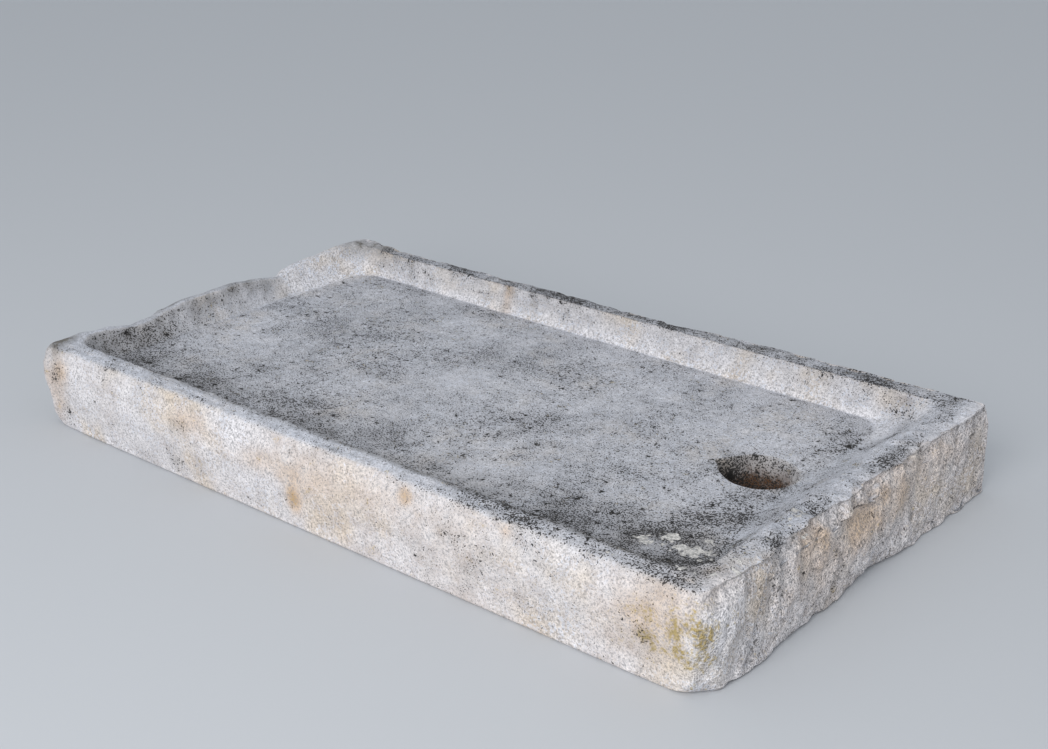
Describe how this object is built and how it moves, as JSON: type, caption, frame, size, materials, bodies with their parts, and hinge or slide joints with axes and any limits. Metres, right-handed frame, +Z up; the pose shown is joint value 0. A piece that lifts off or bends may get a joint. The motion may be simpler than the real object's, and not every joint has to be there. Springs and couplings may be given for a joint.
{
  "type": "stone sink",
  "caption": "Old shallow stone sink hewn out of one limestone block, with a raised rim, a worn lip at one end and a round drain hole near the other.",
  "frame": {"origin": "on the ground, under the middle of the stone's bounding box", "axes": "+X runs along the stone from the worn lip to the drain end, +Y to the back, the long side that stands against a wall, and +Z up"},
  "size_m": [1.124, 0.6339, 0.126],
  "materials": {
    "limestone": "weathered, hand-dressed and dull, with lichen and grime"
  },
  "bodies": {
    "root": {"stone_basin": "limestone"}
  },
  "joints": []
}
